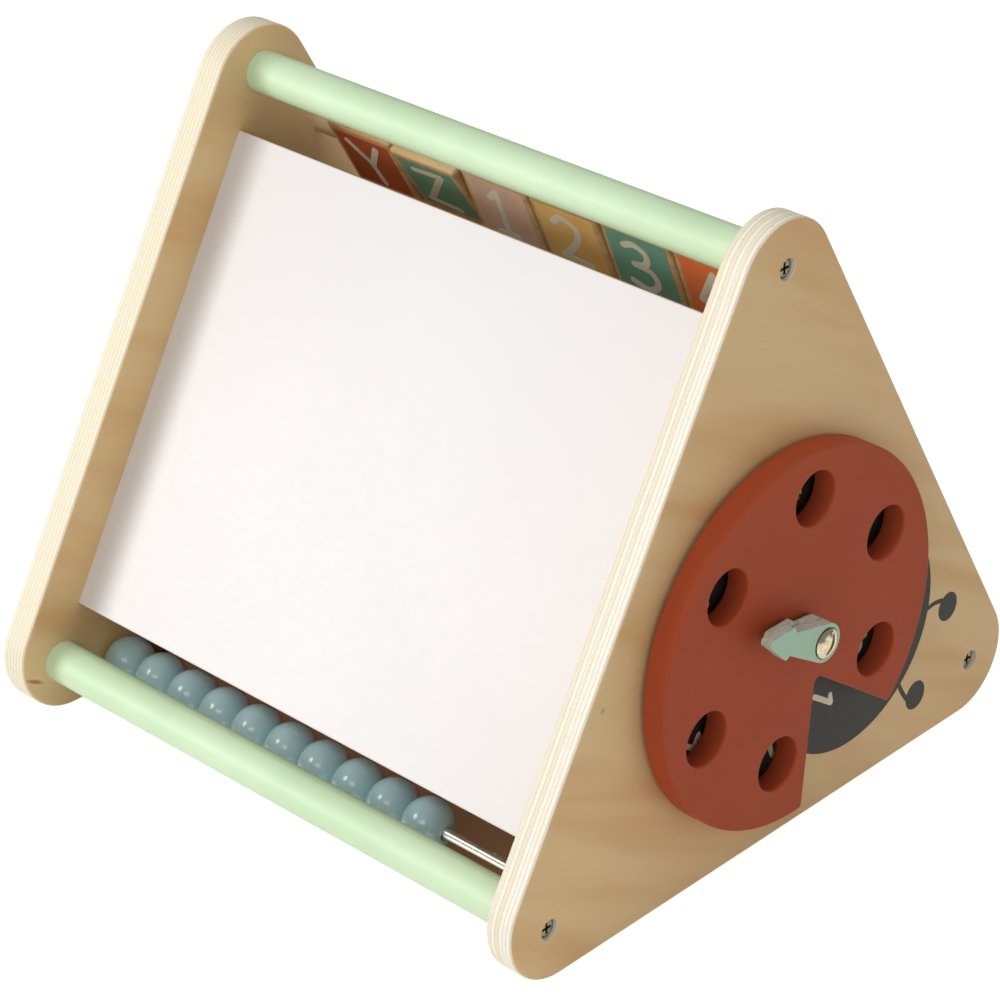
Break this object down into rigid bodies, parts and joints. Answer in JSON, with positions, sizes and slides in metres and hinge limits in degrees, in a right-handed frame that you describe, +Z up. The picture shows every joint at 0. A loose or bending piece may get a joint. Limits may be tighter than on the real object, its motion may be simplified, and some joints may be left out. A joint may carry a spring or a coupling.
{
  "type": "activity pyramid",
  "caption": "Wooden activity pyramid for small children: drawing board, turning letter tiles, sliding beads underneath, and a ladybird disc with clock hands on one end.",
  "frame": {"origin": "on the floor, under the middle of the whole toy's box", "axes": "+X along the dowels, from the plain end panel to the one with the ladybird disc; -Y towards the drawing board, +Y towards the letter tiles; +Z up"},
  "size_m": [0.2886, 0.2692, 0.2424],
  "materials": {
    "birch_plywood": "clear matt lacquer on birch plywood, with the plies showing at the edges",
    "mint_painted_wood": "mint green paint, matt",
    "coated_board": "white melamine faced fibreboard, smooth",
    "bright_steel": "drawn bright steel",
    "zinc_plated_steel": "zinc plated",
    "nickel_plated_steel": "nickel plated, polished",
    "red_painted_wood": "brick red paint, matt",
    "grey_blue_bead": "satin paint",
    "brick_red_tile": "beech tile with a matt painted field on both faces",
    "brick_red_bead": "satin paint",
    "green_tile": "beech tile with a matt painted field on both faces",
    "green_bead": "satin paint",
    "dusty_pink_tile": "beech tile with a matt painted field on both faces",
    "dusty_pink_bead": "satin paint",
    "mustard_tile": "beech tile with a matt painted field on both faces",
    "mustard_bead": "satin paint",
    "teal_green_tile": "beech tile with a matt painted field on both faces",
    "teal_green_bead": "satin paint",
    "orange_red_tile": "beech tile with a matt painted field on both faces",
    "orange_red_bead": "satin paint"
  },
  "bodies": {
    "frame": {"panel_left": "birch_plywood", "panel_right": "birch_plywood", "dowel_front": "mint_painted_wood", "dowel_rear": "mint_painted_wood", "dowel_top": "mint_painted_wood", "dowel_screws": "zinc_plated_steel", "whiteboard": "coated_board", "rods": "bright_steel", "pivot_washer": "zinc_plated_steel", "pivot_screw": "nickel_plated_steel", "pivot_nut": "zinc_plated_steel"},
    "ladybird_disc": {"ladybird_disc": "red_painted_wood"},
    "hour_hand": {"hour_hand": "mint_painted_wood"},
    "minute_hand": {"minute_hand": "mint_painted_wood"},
    "bead_1": {"bead_1": "grey_blue_bead"},
    "bead_2": {"bead_2": "grey_blue_bead"},
    "bead_3": {"bead_3": "grey_blue_bead"},
    "bead_4": {"bead_4": "grey_blue_bead"},
    "bead_5": {"bead_5": "grey_blue_bead"},
    "bead_6": {"bead_6": "grey_blue_bead"},
    "bead_7": {"bead_7": "grey_blue_bead"},
    "bead_8": {"bead_8": "grey_blue_bead"},
    "bead_9": {"bead_9": "grey_blue_bead"},
    "bead_10": {"bead_10": "grey_blue_bead"},
    "bead_row_2": {"bead_row_2": "brick_red_bead"},
    "bead_row_3": {"bead_row_3": "mustard_bead"},
    "bead_row_4": {"bead_row_4": "green_bead"},
    "bead_row_5": {"bead_row_5": "dusty_pink_bead"},
    "bead_row_6": {"bead_row_6": "teal_green_bead"},
    "bead_row_7": {"bead_row_7": "orange_red_bead"},
    "tile_1_1": {"tile_1_1": "brick_red_tile"},
    "tile_1_2": {"tile_1_2": "green_tile"},
    "tile_1_3": {"tile_1_3": "dusty_pink_tile"},
    "tile_1_4": {"tile_1_4": "mustard_tile"},
    "tile_1_5": {"tile_1_5": "teal_green_tile"},
    "tile_1_6": {"tile_1_6": "orange_red_tile"},
    "tile_2_1": {"tile_2_1": "dusty_pink_tile"},
    "tile_2_2": {"tile_2_2": "mustard_tile"},
    "tile_2_3": {"tile_2_3": "teal_green_tile"},
    "tile_2_4": {"tile_2_4": "orange_red_tile"},
    "tile_2_5": {"tile_2_5": "brick_red_tile"},
    "tile_2_6": {"tile_2_6": "green_tile"},
    "tile_3_1": {"tile_3_1": "teal_green_tile"},
    "tile_3_2": {"tile_3_2": "orange_red_tile"},
    "tile_3_3": {"tile_3_3": "brick_red_tile"},
    "tile_3_4": {"tile_3_4": "green_tile"},
    "tile_3_5": {"tile_3_5": "dusty_pink_tile"},
    "tile_3_6": {"tile_3_6": "mustard_tile"},
    "tile_4_1": {"tile_4_1": "brick_red_tile"},
    "tile_4_2": {"tile_4_2": "green_tile"},
    "tile_4_3": {"tile_4_3": "dusty_pink_tile"},
    "tile_4_4": {"tile_4_4": "mustard_tile"},
    "tile_4_5": {"tile_4_5": "teal_green_tile"},
    "tile_4_6": {"tile_4_6": "orange_red_tile"},
    "tile_5_1": {"tile_5_1": "dusty_pink_tile"},
    "tile_5_2": {"tile_5_2": "mustard_tile"},
    "tile_5_3": {"tile_5_3": "teal_green_tile"},
    "tile_5_4": {"tile_5_4": "orange_red_tile"},
    "tile_5_5": {"tile_5_5": "brick_red_tile"},
    "tile_5_6": {"tile_5_6": "green_tile"}
  },
  "joints": [
    {"name": "ladybird_disc_turn", "type": "hinge", "parent": "frame", "child": "ladybird_disc", "pos_m": [0.1197, 0, 0.0901], "axis": [1, 0, 0], "continuous": true},
    {"name": "hour_hand_turn", "type": "hinge", "parent": "frame", "child": "hour_hand", "pos_m": [0.1197, 0, 0.0901], "axis": [1, 0, 0], "continuous": true},
    {"name": "minute_hand_turn", "type": "hinge", "parent": "frame", "child": "minute_hand", "pos_m": [0.1197, 0, 0.0901], "axis": [1, 0, 0], "continuous": true},
    {"name": "bead_1_slide", "type": "slide", "parent": "frame", "child": "bead_1", "axis": [1, 0, 0], "range_m": [0, 0.0062]},
    {"name": "bead_2_slide", "type": "slide", "parent": "bead_1", "child": "bead_2", "axis": [1, 0, 0], "range_m": [0, 0.0062]},
    {"name": "bead_3_slide", "type": "slide", "parent": "bead_2", "child": "bead_3", "axis": [1, 0, 0], "range_m": [0, 0.0062]},
    {"name": "bead_4_slide", "type": "slide", "parent": "bead_3", "child": "bead_4", "axis": [1, 0, 0], "range_m": [0, 0.0062]},
    {"name": "bead_5_slide", "type": "slide", "parent": "bead_4", "child": "bead_5", "axis": [1, 0, 0], "range_m": [0, 0.0062]},
    {"name": "bead_6_slide", "type": "slide", "parent": "bead_5", "child": "bead_6", "axis": [1, 0, 0], "range_m": [0, 0.0062]},
    {"name": "bead_7_slide", "type": "slide", "parent": "bead_6", "child": "bead_7", "axis": [1, 0, 0], "range_m": [0, 0.0062]},
    {"name": "bead_8_slide", "type": "slide", "parent": "bead_7", "child": "bead_8", "axis": [1, 0, 0], "range_m": [0, 0.0062]},
    {"name": "bead_9_slide", "type": "slide", "parent": "bead_8", "child": "bead_9", "axis": [1, 0, 0], "range_m": [0, 0.0062]},
    {"name": "bead_10_slide", "type": "slide", "parent": "bead_9", "child": "bead_10", "axis": [1, 0, 0], "range_m": [0, 0.0062]},
    {"name": "bead_row_2_slide", "type": "slide", "parent": "frame", "child": "bead_row_2", "axis": [1, 0, 0], "range_m": [0, 0.062]},
    {"name": "bead_row_3_slide", "type": "slide", "parent": "frame", "child": "bead_row_3", "axis": [1, 0, 0], "range_m": [0, 0.062]},
    {"name": "bead_row_4_slide", "type": "slide", "parent": "frame", "child": "bead_row_4", "axis": [1, 0, 0], "range_m": [0, 0.062]},
    {"name": "bead_row_5_slide", "type": "slide", "parent": "frame", "child": "bead_row_5", "axis": [1, 0, 0], "range_m": [0, 0.062]},
    {"name": "bead_row_6_slide", "type": "slide", "parent": "frame", "child": "bead_row_6", "axis": [1, 0, 0], "range_m": [0, 0.062]},
    {"name": "bead_row_7_slide", "type": "slide", "parent": "frame", "child": "bead_row_7", "axis": [1, 0, 0], "range_m": [0, 0.062]},
    {"name": "tile_1_1_turn", "type": "hinge", "parent": "frame", "child": "tile_1_1", "pos_m": [-0.09757, 0.02741, 0.1937], "axis": [1, 0, 0], "continuous": true},
    {"name": "tile_1_2_turn", "type": "hinge", "parent": "frame", "child": "tile_1_2", "pos_m": [-0.06383, 0.02741, 0.1937], "axis": [1, 0, 0], "continuous": true},
    {"name": "tile_1_3_turn", "type": "hinge", "parent": "frame", "child": "tile_1_3", "pos_m": [-0.03008, 0.02741, 0.1937], "axis": [1, 0, 0], "continuous": true},
    {"name": "tile_1_4_turn", "type": "hinge", "parent": "frame", "child": "tile_1_4", "pos_m": [0.00367, 0.02741, 0.1937], "axis": [1, 0, 0], "continuous": true},
    {"name": "tile_1_5_turn", "type": "hinge", "parent": "frame", "child": "tile_1_5", "pos_m": [0.03742, 0.02741, 0.1937], "axis": [1, 0, 0], "continuous": true},
    {"name": "tile_1_6_turn", "type": "hinge", "parent": "frame", "child": "tile_1_6", "pos_m": [0.07118, 0.02741, 0.1937], "axis": [1, 0, 0], "continuous": true},
    {"name": "tile_2_1_turn", "type": "hinge", "parent": "frame", "child": "tile_2_1", "pos_m": [-0.09757, 0.0464, 0.1603], "axis": [1, 0, 0], "continuous": true},
    {"name": "tile_2_2_turn", "type": "hinge", "parent": "frame", "child": "tile_2_2", "pos_m": [-0.06383, 0.0464, 0.1603], "axis": [1, 0, 0], "continuous": true},
    {"name": "tile_2_3_turn", "type": "hinge", "parent": "frame", "child": "tile_2_3", "pos_m": [-0.03008, 0.0464, 0.1603], "axis": [1, 0, 0], "continuous": true},
    {"name": "tile_2_4_turn", "type": "hinge", "parent": "frame", "child": "tile_2_4", "pos_m": [0.00367, 0.0464, 0.1603], "axis": [1, 0, 0], "continuous": true},
    {"name": "tile_2_5_turn", "type": "hinge", "parent": "frame", "child": "tile_2_5", "pos_m": [0.03742, 0.0464, 0.1603], "axis": [1, 0, 0], "continuous": true},
    {"name": "tile_2_6_turn", "type": "hinge", "parent": "frame", "child": "tile_2_6", "pos_m": [0.07118, 0.0464, 0.1603], "axis": [1, 0, 0], "continuous": true},
    {"name": "tile_3_1_turn", "type": "hinge", "parent": "frame", "child": "tile_3_1", "pos_m": [-0.09757, 0.06539, 0.1269], "axis": [1, 0, 0], "continuous": true},
    {"name": "tile_3_2_turn", "type": "hinge", "parent": "frame", "child": "tile_3_2", "pos_m": [-0.06383, 0.06539, 0.1269], "axis": [1, 0, 0], "continuous": true},
    {"name": "tile_3_3_turn", "type": "hinge", "parent": "frame", "child": "tile_3_3", "pos_m": [-0.03008, 0.06539, 0.1269], "axis": [1, 0, 0], "continuous": true},
    {"name": "tile_3_4_turn", "type": "hinge", "parent": "frame", "child": "tile_3_4", "pos_m": [0.00367, 0.06539, 0.1269], "axis": [1, 0, 0], "continuous": true},
    {"name": "tile_3_5_turn", "type": "hinge", "parent": "frame", "child": "tile_3_5", "pos_m": [0.03742, 0.06539, 0.1269], "axis": [1, 0, 0], "continuous": true},
    {"name": "tile_3_6_turn", "type": "hinge", "parent": "frame", "child": "tile_3_6", "pos_m": [0.07118, 0.06539, 0.1269], "axis": [1, 0, 0], "continuous": true},
    {"name": "tile_4_1_turn", "type": "hinge", "parent": "frame", "child": "tile_4_1", "pos_m": [-0.09757, 0.08438, 0.09351], "axis": [1, 0, 0], "continuous": true},
    {"name": "tile_4_2_turn", "type": "hinge", "parent": "frame", "child": "tile_4_2", "pos_m": [-0.06383, 0.08438, 0.09351], "axis": [1, 0, 0], "continuous": true},
    {"name": "tile_4_3_turn", "type": "hinge", "parent": "frame", "child": "tile_4_3", "pos_m": [-0.03008, 0.08438, 0.09351], "axis": [1, 0, 0], "continuous": true},
    {"name": "tile_4_4_turn", "type": "hinge", "parent": "frame", "child": "tile_4_4", "pos_m": [0.00367, 0.08438, 0.09351], "axis": [1, 0, 0], "continuous": true},
    {"name": "tile_4_5_turn", "type": "hinge", "parent": "frame", "child": "tile_4_5", "pos_m": [0.03742, 0.08438, 0.09351], "axis": [1, 0, 0], "continuous": true},
    {"name": "tile_4_6_turn", "type": "hinge", "parent": "frame", "child": "tile_4_6", "pos_m": [0.07118, 0.08438, 0.09351], "axis": [1, 0, 0], "continuous": true},
    {"name": "tile_5_1_turn", "type": "hinge", "parent": "frame", "child": "tile_5_1", "pos_m": [-0.09757, 0.10337, 0.06011], "axis": [1, 0, 0], "continuous": true},
    {"name": "tile_5_2_turn", "type": "hinge", "parent": "frame", "child": "tile_5_2", "pos_m": [-0.06383, 0.10337, 0.06011], "axis": [1, 0, 0], "continuous": true},
    {"name": "tile_5_3_turn", "type": "hinge", "parent": "frame", "child": "tile_5_3", "pos_m": [-0.03008, 0.10337, 0.06011], "axis": [1, 0, 0], "continuous": true},
    {"name": "tile_5_4_turn", "type": "hinge", "parent": "frame", "child": "tile_5_4", "pos_m": [0.00367, 0.10337, 0.06011], "axis": [1, 0, 0], "continuous": true},
    {"name": "tile_5_5_turn", "type": "hinge", "parent": "frame", "child": "tile_5_5", "pos_m": [0.03742, 0.10337, 0.06011], "axis": [1, 0, 0], "continuous": true},
    {"name": "tile_5_6_turn", "type": "hinge", "parent": "frame", "child": "tile_5_6", "pos_m": [0.07118, 0.10337, 0.06011], "axis": [1, 0, 0], "continuous": true}
  ]
}
